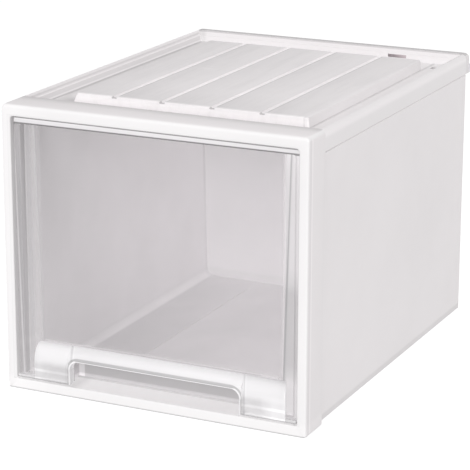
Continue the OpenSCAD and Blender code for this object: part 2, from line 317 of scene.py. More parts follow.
def white_plastic(name, tone=0.83, warm=0.0, streaks=0.0, rough=0.42, shade=None):
    """shade(builder) gives a colour of painted shade and painted highlights: it darkens corners, creases and faces in
    shade and lightens edges and faces where light falls.
    """
    b = Mat(name)
    cloud = b.noise(7.0, 4.0)
    fine = b.noise(60.0, 3.0)
    col = b.ramp(cloud, [(0.30, grey(tone * 0.975, warm)), (0.55, grey(tone, warm)), (0.75, grey(tone * 1.015, warm))])
    if streaks:
        st = b.noise(55.0, 5.0, (2.2, 0.16, 1.0), 0.65)
        sc = b.ramp(st, [(0.30, grey(1 - streaks)), (0.50, grey(1.0)), (0.72, grey(1 + streaks * 0.35))])
        mx = b.node("ShaderNodeMix", data_type="RGBA", blend_type="MULTIPLY")
        mx.inputs[0].default_value = 1.0
        b.link(col, mx.inputs[6])
        b.link(sc, mx.inputs[7])
        col = mx.outputs[2]
    if shade:
        col = times(b, col, shade(b))
    b.link(col, b.bsdf.inputs["Base Color"])
    b.link(b.remap(fine, 0.3, 0.7, rough - 0.05, rough + 0.07), b.bsdf.inputs["Roughness"])
    b.bsdf.inputs["IOR"].default_value = 1.47
    b.bsdf.inputs["Specular IOR Level"].default_value = 0.42
    b.bump([(b.noise(1500.0, 2.0), 0.10, 0.00006), (b.noise(9.0, 2.0), 0.10, 0.0008)])
    return b.m


def clear_plastic(name, rough=0.09, base=None, alpha=None, waves=0.06, haze=0.03, tint=(1.0, 1.0, 1.01)):
    """base and alpha are functions of the builder that give a colour and an opacity, or plain numbers."""
    b = Mat(name)
    hz = b.noise(14.0, 3.0)
    col = b.ramp(hz, [(0.3, tuple(t * (1 - haze) for t in tint) + (1,)), (0.7, tuple(tint) + (1,))])
    if callable(base):
        col = times(b, col, base(b))
    else:
        col = b.ramp(hz, [(0.3, tuple(base * t * (1 - haze) for t in tint) + (1,)), (0.7, tuple(base * t for t in tint) + (1,))])
    b.link(col, b.bsdf.inputs["Base Color"])
    b.link(b.remap(b.noise(40.0, 2.0), 0.3, 0.7, rough, rough + 0.05), b.bsdf.inputs["Roughness"])
    b.bsdf.inputs["IOR"].default_value = 1.49
    b.bsdf.inputs["Specular IOR Level"].default_value = 0.5
    if callable(alpha):
        b.link(alpha(b), b.bsdf.inputs["Alpha"])
    else:
        b.link(b.remap(hz, 0.3, 0.7, alpha * 0.95, alpha * 1.05), b.bsdf.inputs["Alpha"])
    b.bump([(b.noise(22.0, 2.0), waves, 0.0006)])
    return b.m


def step(b, axis, at, absolute=False, blur=0.02):
    """0 below a place along one axis (mm), 1 above it."""
    return b.remap(place(b, axis, absolute), (at - blur) / 1000.0, (at + blur) / 1000.0, 0.0, 1.0)


def step_of(b, socket, at, blur=0.05):
    return b.remap(socket, (at - blur) / 1000.0, (at + blur) / 1000.0, 0.0, 1.0)


def both(b, a, c):
    m = b.node("ShaderNodeMath")
    m.operation = "MULTIPLY"
    b.link(a, m.inputs[0])
    b.link(c, m.inputs[1])
    return m.outputs[0]


def flip(b, a):
    m = b.node("ShaderNodeMath")
    m.operation = "SUBTRACT"
    m.inputs[0].default_value = 1.0
    b.link(a, m.inputs[1])
    return m.outputs[0]


def right_line(b):
    """1 on a fine line near the right end of the pane, which leans a little; pane_tone and pane_alpha paint a dark line
    of shade there.
    """
    return profile_of(b, slanted(b, -0.0274, 0.0, "X", "Z"), [(-160, 0.0), (120.6, 0.0), (120.8, 1.0), (121.6, 1.0), (121.9, 0.0), (160, 0.0)])


def pane_tone(b):
    # Painted shade and painted highlights for what shows through the clear pane and bead: the left bead painted dark
    # with a painted highlight line at its inner edge, the pane darker near the left, the right bead painted light with
    # dark lines, and a painted shade band at mid height on the right end.
    side = profile(b, "X", [(-140.2, 0.48), (-139.0, 0.47), (-135.6, 0.45), (-134.12, 0.45), (-134.06, 0.80), (-133.96, 0.80), (-133.9, 0.58), (-128, 0.68), (-119.4, 0.70), (-117.9, 0.80),
                            (119.5, 0.80), (126.0, 0.92), (133.4, 0.92), (133.8, 0.62), (134.5, 0.62), (135.1, 0.95), (138.6, 0.95), (139.2, 0.62), (140.2, 0.66)], False, 0.03)
    right = profile(b, "Z", [(12, 0.80), (23, 0.80), (41, 0.82), (52, 0.70), (60, 0.63), (125, 0.63), (134, 0.74), (149, 0.84), (210, 0.84), (235, 0.90), (249, 1.0)])
    side = choose(b, step(b, "X", 123, False, 1.5), side, times(b, side, right))
    # low: painted shade along the pane's bottom edge.
    low = profile(b, "Z", [(11, 0.80), (12, 0.84), (12.6, 1.0), (36, 1.0), (44, 1.05), (50, 1.0), (240, 1.0)])
    # top: the top bead painted light above a painted dark line of shade along its lower edge.
    top = profile(b, "Z", [(249.3, 0.60), (249.5, 0.25), (250.9, 0.25), (251.4, 0.86), (252.4, 0.91), (256.4, 0.95)], False, 0.02)
    # Painted shadow of the gap between the frame and the top of the bead.
    gap_shadow = profile_of(b, slanted(b, 0.003, 0.0, "Z", "X"), [(248, 1.0), (254.55, 1.0), (254.8, 0.42), (257, 0.42)])
    # light: a painted highlight line along the left bead's outer edge.
    light = profile_of(b, slanted(b, 0.021, 0.0, "X", "Z"), [(-160, 1.06), (-136.0, 1.06), (-135.7, 1.70), (-134.9, 1.70), (-134.6, 1.0), (160, 1.0)])
    face = choose(b, step(b, "X", -134.0), times(b, side, light), side)
    face = choose(b, right_line(b), face, profile(b, "Z", [(10, 0.42), (250, 0.42)]))
    return choose(b, step(b, "Z", 249.3), times(b, face, low), times(b, top, gap_shadow))


def pane_alpha(b):
    side = profile(b, "X", [(-140.2, 0.80), (-139.5, 0.80), (-139.0, 0.62), (-134.6, 0.62), (-134.2, 0.75), (-133.8, 0.75), (-133.2, 0.40), (-125, 0.30), (-119.4, 0.22), (-117.9, 0.13),
                            (119.5, 0.13), (122.0, 0.30), (124.5, 0.62), (133.4, 0.62), (133.8, 0.66), (134.5, 0.66), (135.1, 0.64), (138.6, 0.64), (139.2, 0.65), (140.2, 0.65)])
    low = profile(b, "Z", [(36, 0.13), (42.0, 0.15), (44.5, 0.34), (46.0, 0.28), (48.5, 0.13), (240, 0.13)])
    top = profile(b, "Z", [(249.3, 0.13), (249.6, 0.78), (251.1, 0.80), (251.7, 0.86), (256.4, 0.86)])
    inside = choose(b, step(b, "X", 117.5, True), low, side)
    inside = choose(b, right_line(b), inside, profile(b, "Z", [(10, 0.62), (250, 0.62)]))
    return choose(b, step(b, "Z", 249.3), inside, top)


def roll_end(b):
    """1 on the outer end faces of the two rolls; the right one flares towards its foot."""
    right = step_of(b, slanted(b, 0.3667, 0.06857), 124.7, 0.08)
    return maths(b, "MAXIMUM", right, flip(b, step(b, "X", -122.3, False, 0.08)))


def pull_tone(b):
    """Bands of painted highlight and painted shade on the rolled ends and on the bar between them, parted by a fine
    painted line of shade and highlight that leans over the curve; the ends are painted lighter towards the right,
    painted lines of highlight and shade follow the slot's edge, and the end caps are painted lighter.
    """
    across = slanted(b, 0.4, 0.0748)
    out = round_slot(b)
    bands = profile(b, "Z", [(10.8, 0.42), (12.0, 0.42), (12.5, 0.84), (13.4, 0.84), (14.4, 0.65), (19.0, 0.67), (20.1, 0.82), (21.4, 0.82), (22.6, 0.65), (25.5, 0.65), (29.0, 0.77), (33.0, 0.84), (46, 0.87)], False, 0.012)
    brighter = choose(b, step(b, "Z", 29, False, 4.0), profile(b, "X", [(-130, 1.08), (-118, 1.08), (-112, 1.0), (80, 1.0), (92, 1.07), (104, 1.09), (117, 1.24), (130, 1.28)]),
                      profile(b, "X", [(-130, 1.0), (80, 1.0), (92, 0.97), (130, 0.97)]))
    ring = profile_of(b, out, [(0, 0.86), (2.6, 0.86), (3.0, 0.99), (3.5, 0.99), (3.9, 0.92), (4.6, 0.92), (5.1, 1.0), (12, 1.0)])
    bar = profile_of(b, out, [(-1, 0.52), (3.3, 0.52), (4.0, 0.84), (6, 0.88), (14, 0.88)], 0.012)
    middle = both(b, step_of(b, across, -88.0), flip(b, step_of(b, across, 85.2)))
    line = profile_of(b, across, [(-140, 1.0), (-89.3, 1.0), (-88.8, 0.86), (-87.6, 0.78), (-87.2, 1.05), (-86.2, 1.05), (-85.8, 1.0),
                                  (84.0, 1.0), (84.5, 0.84), (85.8, 0.80), (86.2, 1.05), (87.2, 1.05), (87.6, 1.0), (140, 1.0)])
    high = step(b, "Z", 33.6)
    web = both(b, flip(b, step(b, "X", 87.1, True)), step(b, "Z", 25.4))
    region = maths(b, "MAXIMUM", both(b, middle, high), web)
    roll = times(b, times(b, bands, brighter), choose(b, high, ring, profile(b, "Z", [(10, 1.0), (50, 1.0)])))
    cap = times(b, profile(b, "Z", [(10.8, 0.92), (46, 0.98)], False, 0.012), profile(b, "X", [(-130, 1.02), (0, 1.02), (1, 1.10), (130, 1.10)]))
    face = times(b, choose(b, region, roll, bar), line)
    return choose(b, roll_end(b), face, cap)


def pull_alpha(b):
    face = profile(b, "Z", [(10, 0.90), (12, 0.90), (12.5, 0.50), (22, 0.50), (26, 0.62), (31, 0.90), (36, 0.95), (46, 0.95)])
    edge = profile(b, "Z", [(10, 0.90), (31, 0.92), (46, 0.95)])
    face = choose(b, step(b, "X", 112.0, True, 6.0), face, edge)
    cap = profile(b, "Z", [(10, 0.80), (24, 0.90), (46, 0.95)])
    return choose(b, roll_end(b), face, cap)


def return_tone(b):
    # Painted highlight and painted shade on the return round the slot: bands along its depth, a painted highlight on
    # its top edge, painted shade above that under the lip and on its outer faces low down.
    run = profile(b, "Y", [(-199.4, 0.88), (-198.4, 0.86), (-197.9, 0.87), (-193.2, 0.86), (-192.5, 0.92), (-191.3, 0.92)], False, 0.012)
    low = profile(b, "X", [(84, 0.97), (86.2, 0.97), (86.5, 0.66), (88, 0.66)], True)
    return times(b, run, choose(b, step(b, "Z", 26, False, 1.0), low, profile(b, "Z", [(10, 0.92), (26, 0.98), (33.6, 1.14), (34.7, 1.14), (35.0, 0.56), (46, 0.56)])))


def return_alpha(b):
    return profile(b, "Y", [(-199.4, 0.88), (-198.4, 0.80), (-197.9, 0.55), (-193.2, 0.55), (-192.5, 0.85), (-191.3, 0.85)])


def tray_tone(b):
    # Painted light and shade on the cloudy tray: the floor left of x -61.5 painted in shadow and the rest lighter
    # towards the right and the rear, the right wall's outer face painted lighter, the left wall darker towards the top
    # and the front, the back wall darker towards the top, a slightly darker band just above the floor, and the front
    # edge painted dark.
    shadowed_floor = times(b, profile(b, "X", [(-130, 0.72), (-100, 0.79), (-61.8, 0.85), (130, 0.85)]), profile(b, "Y", [(-190, 0.94), (-60, 0.95), (0, 0.99), (80, 1.05), (150, 1.12)]))
    lit_floor = times(b, profile(b, "X", [(-62, 0.935), (-59.0, 0.935), (-58.4, 0.92), (-20, 0.925), (20, 0.98), (130, 1.11)]), profile(b, "Y", [(-190, 1.0), (50, 1.0), (150, 1.05)]))
    floor = choose(b, step(b, "X", -61.5, False, 0.3), shadowed_floor, lit_floor)
    side = profile(b, "X", [(-130, 1.03), (119.5, 1.03), (121.5, 1.30), (124.4, 1.36), (130, 1.36)])
    left = times(b, profile(b, "Z", [(10, 0.945), (60, 0.955), (100, 0.97), (120, 0.965), (180, 0.92), (250, 0.85)]), profile(b, "Y", [(-190, 0.93), (-100, 0.985), (-30, 1.065), (60, 1.115), (150, 1.14)]))
    side = times(b, side, choose(b, step(b, "X", -110), left, profile(b, "Z", [(10, 1.0), (250, 1.0)])))
    back = times(b, profile(b, "Z", [(10, 1.01), (32, 1.01), (63, 1.03), (95, 1.03), (125, 0.97), (145, 0.90), (157, 0.87), (250, 0.84)]), profile(b, "X", [(-130, 1.03), (-112, 1.0), (-50, 1.0), (-25, 1.04), (130, 1.04)]))
    walls = choose(b, step(b, "Y", 149.8, False, 0.1), side, back)
    low = step(b, "Z", 13.2, False, 0.4)
    tone = profile(b, "Z", [(10, 0.70), (12.8, 0.70), (13.4, 0.655), (20.5, 0.645), (22.5, 0.685), (250, 0.685)], False, 0.034)
    edge = profile(b, "X", [(-130, 0.80), (100, 0.80), (101, 0.46), (124.0, 0.46), (124.4, 1.1), (130, 1.2)])
    whole = times(b, choose(b, low, floor, walls), tone)
    return choose(b, step(b, "Y", -184.6, False, 0.1), times(b, edge, tone), whole)


def foot_tone(b):
    # Painted shadow along the foot's bottom edge, a painted highlight band above it, then a little darker.
    return profile(b, "Z", [(10.8, 0.46), (11.9, 0.46), (12.4, 0.84), (13.4, 0.84), (14.4, 0.72)], False, 0.012)


def pocket_tone(b):
    # Painted shade: the pocket's back wall painted darker upwards, standing in for the lip's shadow; its left end
    # painted lighter.
    return times(b, profile(b, "X", [(-90, 1.42), (-85.2, 1.42), (-84.6, 1.0), (90, 1.0)]), profile(b, "Z", [(10.5, 0.60), (12.4, 0.60), (13.4, 0.55), (14.0, 0.54), (14.7, 0.43), (20, 0.41), (25, 0.36), (40, 0.34)], False, 0.03))


def frame_shade(b):
    """Painted shade and painted light on the frame: inner faces painted darker, the sill painted lighter with a painted
    shadow near the slot's left end, the fine dark and light lines behind the rounded side edge, a darker line at the
    left edge and a lighter left front, a painted contact shadow along the foot, and the flat top painted darker towards
    its rear edge.
    """
    inner = both(b, both(b, flip(b, step(b, "X", 144.0, True)), flip(b, step(b, "Z", 259.0))), step(b, "Z", 9.4))
    wall = profile(b, "Y", [(-200, 1.0), (-199.2, 0.97), (-198.6, 0.80), (-166, 0.78)])
    sill = times(b, profile(b, "Y", [(-200, 1.0), (-199.2, 1.0), (-198.4, 1.17), (-192, 1.20), (-178, 1.26), (-176.4, 1.28), (-174.4, 1.28), (-173.6, 1.06), (-166, 0.98)]),
                 profile(b, "X", [(-140, 0.94), (-88, 0.86), (-82, 0.84), (-77, 0.93), (-72, 1.0), (140, 1.0)]))
    lining = choose(b, step(b, "Z", 10.8), sill, wall)
    side = profile(b, "Y", [(-200, 1.0), (-198.6, 0.97), (-197.4, 0.94), (-194.2, 0.94), (-193.4, 1.07), (-192.0, 1.07), (-191.2, 0.985), (-166, 0.985)], False, 0.02)
    front = profile(b, "X", [(-150, 0.80), (-149.5, 0.84), (-148.9, 1.05), (-138, 1.05), (-100, 1.0), (150, 1.0)])
    foot = profile(b, "Z", [(0, 0.46), (0.5, 0.48), (1.1, 0.86), (1.9, 1.04), (9.6, 1.035), (14, 1.0), (40, 1.0)])
    lid = profile(b, "Y", [(-200, 1.0), (-195, 0.95), (-190, 0.92), (-180, 0.91), (-175, 0.86), (-171.5, 0.80), (-169.0, 0.76), (-166, 0.75)], False, 0.02)
    skin = times(b, choose(b, step(b, "X", 149.6, True), front, side), foot)
    skin = choose(b, step(b, "Z", 267.4, False, 0.3), skin, lid)
    return choose(b, inner, skin, lining)


GROOVES = (-75.2, -26.6, 23.2, 72.4)


def top_shade(b):
    # Painted shade and painted highlights on the plateau: a painted shade line along its foot, the front face painted
    # lighter over a painted contact line, painted dark lines at its front corners, and the top painted darker towards
    # the left and the front.
    base = profile(b, "Z", [(255.9, 0.84), (256.3, 0.84), (256.8, 1.0), (266.2, 1.0)])
    foot = profile(b, "Z", [(255.9, 0.56), (256.3, 0.60), (256.9, 1.18), (261, 1.15), (264, 1.09), (266.2, 1.05)])
    corner = profile(b, "X", [(-120, 0.84), (-117.6, 0.84), (-117.1, 1.0), (111.6, 1.0), (112.0, 0.80), (112.8, 0.82), (113.2, 0.86), (114.3, 0.86), (114.7, 0.96), (120, 0.96)])
    # bright: painted highlight on each groove's lit wall; dark: painted shade beside the groove and on its far wall;
    # marks: painted shade where each groove opens in the front face.
    bright, dark, marks = [(-100, 1.0)], [(-100, 1.0)], [(-100, 1.0)]
    for c in GROOVES:
        bright += [(c - 2.9, 1.0), (c - 2.5, 1.13), (c + 0.2, 1.13), (c + 1.0, 1.0)]
        dark += [(c - 4.0, 1.0), (c - 3.3, 0.955), (c - 2.9, 1.0), (c + 2.1, 1.0), (c + 2.4, 0.80), (c + 3.4, 0.80), (c + 3.9, 1.0)]
        marks += [(c - 2.9, 1.0), (c - 2.5, 0.66), (c + 2.3, 0.66), (c + 2.7, 1.0)]
    grooves = times(b, profile(b, "X", bright + [(100, 1.0)]), profile(b, "X", dark + [(100, 1.0)]))
    ends = choose(b, step(b, "Z", 264.3, False, 0.15), profile(b, "X", [(-100, 1.0), (100, 1.0)]), profile(b, "X", marks + [(100, 1.0)]))
    left = times(b, profile(b, "X", [(-120.5, 0.92), (-116, 0.94), (-112, 0.955), (-60, 0.97), (0, 0.99), (120, 0.985)]), profile(b, "Y", [(-126, 0.93), (-115, 0.945), (-60, 1.0), (160, 1.0)]))
    # A patch of paler stretched streaks on the plateau top.
    pale_streaks = b.ramp(b.noise(70.0, 4.0, (0.5, 3.2, 1.0), 0.6), [(0.46, grey(1.0)), (0.56, grey(1.07)), (0.62, grey(1.0))])
    patch = both(b, both(b, step(b, "X", -64, False, 5.0), flip(b, step(b, "X", -46, False, 5.0))), both(b, step(b, "Y", 15, False, 5.0), flip(b, step(b, "Y", 36, False, 5.0))))
    pale_patch = choose(b, patch, profile(b, "X", [(-100, 1.0), (100, 1.0)]), pale_streaks)
    top = times(b, times(b, times(b, base, grooves), left), pale_patch)
    return choose(b, step(b, "Y", -122.1, False, 0.2), times(b, times(b, foot, corner), ends), top)


def rim_shade(b):
    """Painted shade and painted highlights: fine light and dark lines along the inside of the left rim, a painted
    highlight low on the rounded outer edge, and the rear rim painted darker, most at its flat top and its left end.
    """
    inside = profile(b, "Z", [(248, 0.7), (255.9, 0.60), (256.5, 0.66), (257.0, 0.86), (257.4, 1.02), (258.1, 1.02), (258.6, 0.87), (262.0, 0.87), (262.5, 1.02), (263.4, 1.02), (264.2, 0.91), (265.0, 0.83), (265.8, 0.94), (266.6, 1.00), (268, 1.0)])
    outside = profile(b, "Z", [(248, 1.0), (259.5, 1.0), (262.5, 1.08), (264.0, 1.08), (266.5, 0.98), (268, 0.96)])
    sides = choose(b, step(b, "X", 0), inside, outside)
    rear = times(b, profile(b, "Z", [(248, 0.93), (266.3, 0.93), (266.8, 0.73), (268, 0.70)]),
                 profile(b, "X", [(-150, 0.86), (-141, 0.86), (-136, 1.0), (150, 1.0)]))
    return choose(b, step(b, "Y", 186.4, False, 0.2), sides, rear)


def side_shade(b):
    return profile(b, "Z", [(0, 0.88), (8.1, 0.88), (8.8, 0.94), (10.0, 1.0), (13, 1.0), (246.4, 1.0), (247.1, 0.70), (250, 0.68)])


def channel_shade(b):
    front = profile(b, "X", [(-146, 0.98), (-138, 0.88), (-132, 0.80), (-124, 0.72), (-118, 0.70), (114, 0.70), (117, 0.86), (126, 0.98), (146, 1.0)])
    along = profile(b, "X", [(-146, 0.66), (-141.6, 0.66), (-140.2, 0.82), (-136.5, 0.94), (-132, 0.98), (114.8, 1.0), (115.9, 0.76), (117.3, 0.78), (118.8, 0.96), (146, 0.96)])
    corner = both(b, flip(b, step(b, "X", 0.0)), flip(b, step_of(b, slanted(b, 0.55, 0.0, "Y", "X"), -176.0, 8.0)))
    near = choose(b, step(b, "Y", -119.0, False, 3.0), front, along)
    return choose(b, corner, near, times(b, front, profile(b, "Y", [(-170, 1.0), (-120, 0.97), (-95, 0.97)])))


def slot_shade(b):
    return profile(b, "X", [(66, 1.0), (72, 1.1), (79, 1.7), (83, 2.0), (87, 2.0)])


M_SHELL = white_plastic("shell_white", 0.825, warm=0.014, shade=frame_shade)
M_RIM = white_plastic("shell_white_rim", 0.83, warm=0.028, shade=rim_shade)
M_TOP = white_plastic("shell_white_streaked", 0.81, warm=0.032, streaks=0.05, shade=top_shade)
M_CHANNEL = white_plastic("shell_white_channel", 0.83, warm=0.032, streaks=0.02, shade=channel_shade)
M_NOTCH = white_plastic("notch_shade", 0.50, warm=0.03)
M_SIDE = white_plastic("shell_white_side", 0.83, warm=0.034, shade=side_shade)
M_INNER = white_plastic("inner_white", 0.80, warm=0.03, rough=0.5)
M_SLOT = white_plastic("slot_shade", 0.22, warm=0.16, rough=0.6, shade=slot_shade)
M_PANE = clear_plastic("clear_pane", base=pane_tone, alpha=pane_alpha)
M_PULL = clear_plastic("clear_pull", base=pull_tone, alpha=pull_alpha, rough=0.16)
M_FOOT = clear_plastic("clear_foot", base=foot_tone, alpha=0.62, rough=0.16)
M_RETURN = clear_plastic("clear_return", base=return_tone, alpha=return_alpha)
M_TRAY = clear_plastic("cloudy_tray", base=tray_tone, alpha=0.86, rough=0.3)
M_POCKET = clear_plastic("cloudy_pocket", base=pocket_tone, alpha=0.93, rough=0.3)

# ---------------------------------------------------------------- front frame
def ring_xz(y, x, z0, z1, r, n=7):
    return [(u, y, v) for u, v in rr(-x, x, z0, z1, r, n)]


bm = bmesh.new()
rings = []


def outer(y, d):
    """d is the inset at the top; the sides and the foot are rounded less."""
    s = d * 0.38
    rings.append([(u, y, v) for u, v in rr(-150 + s, 150 - s, s * 0.25, 268 - d, (max(2.6 - s, .2),) * 2 + (max(5 - d, .3),) * 2, 7)])


def inner(y, e):
    r = ring_xz(y, 140.7 + e, 10 - e, 257 + e, (2 + e, 2 + e, 3 + e, 3 + e))
    rings.append([(a, min(b, 31.4) if c > 240 else b, c) for a, b, c in r])


outer(34, 0.0); outer(6.1, 0); outer(5.2, 0.3)
for i in range(0, 8):
    a = math.radians(90 * i / 8)
    outer(3.5 * (1 - math.sin(a)), 0.3 + 3.2 * (1 - math.cos(a)))
outer(0, 3.5)
inner(0, 1.3)
for i in range(1, 5):
    a = math.radians(90 * i / 5)
    inner(1.3 * (1 - math.cos(a)), 1.3 * (1 - math.sin(a)))
inner(1.3, 0); inner(33.7, 0); inner(34, 0.3)
inner(34, 1.8); inner(2.4, 1.8)
outer(2.4, 3.6); outer(34, 3.6)
loft(bm, rings, closed_loft=True)
frame_obj = new_object("frame_shell", bm, 40)
frame_obj.data.materials.append(M_SHELL)
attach(frame_obj, "case"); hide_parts("front_frame")

# ---------------------------------------------------------------- top: rim and band
def u_path(ds, dr, z, r, n=8, y0=34.0):
    """Open U in plan: left side, back, right side. ds and dr are the insets at the sides and at the back."""
    x, yb = 150 - ds, 400 - dr
    pts = [(-x, y0, z)]
    pts += [(-x, y0 + (yb - r - y0) * t, z) for t in (0.02, 0.5, 0.98)]
    for i in range(n + 1):
        a = math.radians(180 - 90 * i / n)
        pts.append((-x + r + r * math.cos(a), yb - r + r * math.sin(a), z))
    for i in range(n + 1):
        a = math.radians(90 - 90 * i / n)
        pts.append((x - r + r * math.cos(a), yb - r + r * math.sin(a), z))
    pts += [(x, y0 + (yb - r - y0) * t, z) for t in (0.98, 0.5, 0.02)]
    pts.append((x, y0, z))
    return pts


bm = bmesh.new()
sec = [u_path(2, 2, 248.3, 1.0), u_path(0.4, 0.4, 248.3, 1.0), u_path(0, 0, 248.7, 1.0), u_path(0, 0, 256.6, 1.0), u_path(0, 0, 257.4, 6.0)]
sec.append(u_path(0, 0, 263, 6.0))
for i in range(1, 8):
    a = math.radians(90 * i / 8)
    d = 5 * (1 - math.cos(a))
    sec.append(u_path(d, d, 263 + 5 * math.sin(a), max(6 - d, 1.2)))
sec.append(u_path(4.9, 5.0, 268, 1.2))
sec.append(u_path(5.0, 11.6, 267.95, 2.6))
sec.append(u_path(5.25, 12.0, 267.5, 2.8))
sec.append(u_path(5.3, 12.05, 263.1, 2.8))
sec.append(u_path(6.0, 12.7, 262.7, 2.8))
sec.append(u_path(7.3, 12.75, 257.7, 2.8))
sec.append(u_path(7.6, 13.2, 256.5, 2.6))
sec.append(u_path(8.2, 14.0, 255.95, 2.4))
sec.append(u_path(8.2, 14.0, 253.7, 2.4))
sec.append(u_path(2.0, 12.0, 253.6, 1.0))
vs = loft(bm, sec, closed_ring=False, closed_loft=True)
bm.faces.new([ring[0] for ring in vs])
bm.faces.new([ring[-1] for ring in reversed(vs)])
rim = new_object("top_rim", bm, 40)
cut(rim, "slot_tool", (66.8, 380, 258.5), (86.2, 390.3, 261.6), 0.2)
rim.data.materials.clear()
rim.data.materials.append(M_RIM)
rim.data.materials.append(M_SLOT)
for face in rim.data.polygons:
    c = face.center
    if 0.0663 < c.x < 0.0867 and 0.1876 < c.y < 0.1906 and 0.2583 < c.z < 0.2618:
        face.material_index = 1
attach(rim, "case")

# channel floor
bm = bmesh.new()
slab(bm, (-144.6, 31.7, 253.6), (144.6, 388, 256))
floor_plate = new_object("channel_floor", bm, 40)
cut(floor_plate, "notch_tool", (121, 362, 254.4), (128, 370, 260), 0.3)
floor_plate.data.materials.clear()
floor_plate.data.materials.append(M_CHANNEL)
floor_plate.data.materials.append(M_NOTCH)
for face in floor_plate.data.polygons:
    c = face.center
    if 0.1205 < c.x < 0.1285 and 0.1615 < c.y < 0.1705 and 0.2541 < c.z < 0.2559:
        face.material_index = 1
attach(floor_plate, "case")

# front upstand, under the frame's top skin
bm = bmesh.new()
slab(bm, (-147.9, 31.7, 253.6), (147.9, 34.0, 266.1))
up = new_object("channel_front_wall", bm, 40)
up.data.materials.append(M_SHELL)
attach(up, "case")

# ---------------------------------------------------------------- top: plateau with grooves
def plateau_profile():
    """Right half and left half outline in (x, z), base to base over the top; marks side points for the corner bevel."""
    pts = []
    left = [(-119.9, 255.7), (-119.3, 256.5), (-115.6, 264.6), (-115.2, 265.3), (-114.5, 265.8), (-113.6, 266.0)]
    right = [(113.4, 266.0), (114.3, 265.8), (115.0, 265.3), (115.3, 264.6), (116.1, 256.5), (116.4, 255.7)]
    pts += [(x, z, 1) for x, z in left]
    for c in GROOVES:
        w = 4.5 / 2
        for x, z in ((c - w - 0.5, 266.0), (c - w - 0.12, 265.88), (c - w, 265.6), (c - w + 0.25, 264.6), (c + w - 0.25, 264.6), (c + w, 265.6), (c + w + 0.12, 265.88), (c + w + 0.5, 266.0)):
            pts.append((x, z, 0))
    pts += [(x, z, 1) for x, z in right]
    return pts


bm = bmesh.new()
prof = plateau_profile()
rings = []
y0, y1 = 74.0, 352.0
stations = [(y0, 2.8, 0.7), (y0 + 0.25, 2.5, 0.25), (y0 + 0.7, 2.1, 0.0), (y0 + 2.8, 0.0, 0.0), (y0 + 40, 0, 0),
            (y1 - 40, 0, 0), (y1 - 1.6, 0.0, 0.0), (y1 - 0.7, 0.3, 0.0), (y1 - 0.2, 0.8, 0.25), (y1, 1.2, 0.7)]
for y, inset, drop in stations:
    ring = []
    for x, z, s in prof:
        dx = (inset * 0.64 if x < 0 else inset) if s else 0.0
        top = 266.0 - drop
        ring.append((x - math.copysign(dx, x), y, min(z, top) if z > 265 else z))
    rings.append(ring)
vs = loft(bm, rings, closed_ring=True, caps=True)
plateau = new_object("plateau", bm, 30)
plateau.data.materials.append(M_TOP)
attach(plateau, "case")
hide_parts("top_panel")

# ---------------------------------------------------------------- drawer front: clear pane with a bead round it
def near(y, x):
    """The bead's face stands a little prouder towards the left."""
    return y - 2.6 * (134 - x) / 268 if y <= 8.5 else y


def ring_front(y, d, x=140.0, z0=11.0, z1=256.4, r=(2.0, 2.0, 3.0, 3.0)):
    return [(u, near(y, u), v) for u, v in rr(-x + d, x - d, z0 + d, z1 - d, tuple(max(k - d, 0.25) for k in r), 7)]


bm = bmesh.new()
rings = [ring_front(15.2, 0.5), ring_front(14.9, 0.1), ring_front(14.6, 0.0), ring_front(8.5, 0.0)]
for i in range(1, 6):
    a = math.radians(90 * i / 5)
    rings.append(ring_front(8.5 - 1.0 * math.sin(a), 1.0 * (1 - math.cos(a))))


def ring_inner(y, d):
    return [(u, near(y, u), v) for u, v in rr(-134 + d, 134 - d, 14 + d, 249.7 - d, (1.6, 1.6, 2.4, 2.4), 7)]


for i in range(0, 6):
    a = math.radians(90 * i / 5)
    rings.append(ring_inner(7.5 + 1.0 * (1 - math.cos(a)), -1.0 * (1 - math.sin(a))))
rings += [ring_inner(12.3, 0.0), ring_inner(12.7, 0.1), ring_inner(13.0, 0.6)]
loft(bm, rings, caps=True)
pane = new_object("pane_and_bead", bm, 30)
bm = bmesh.new()
loft(bm, [[(u, y, v) for u, v in rr(-90.7, 90.7, -5, 37.5, (1, 1, 6, 6), 6)] for y in (-1, 40)], caps=True)
boolean(pane, new_object("pocket_tool", bm, None), smooth=30)
cut(pane, "bead_tool", (-122.45, -1, 0), (125.0, 12.99, 30))
pane.data.materials.append(M_PANE)
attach(pane, "drawer"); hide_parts("drawer_front")

# ---------------------------------------------------------------- pull: lip, rolled ends and the return round the slot
FOOT = 11.2


def end_curve(wall, n, y_front=1.0, top=45.0):
    return [(13 - (13 - y_front - wall) * math.sin(math.radians(90 * i / n)), 28 + (top - 28 - wall) * math.cos(math.radians(90 * i / n))) for i in range(n + 1)]


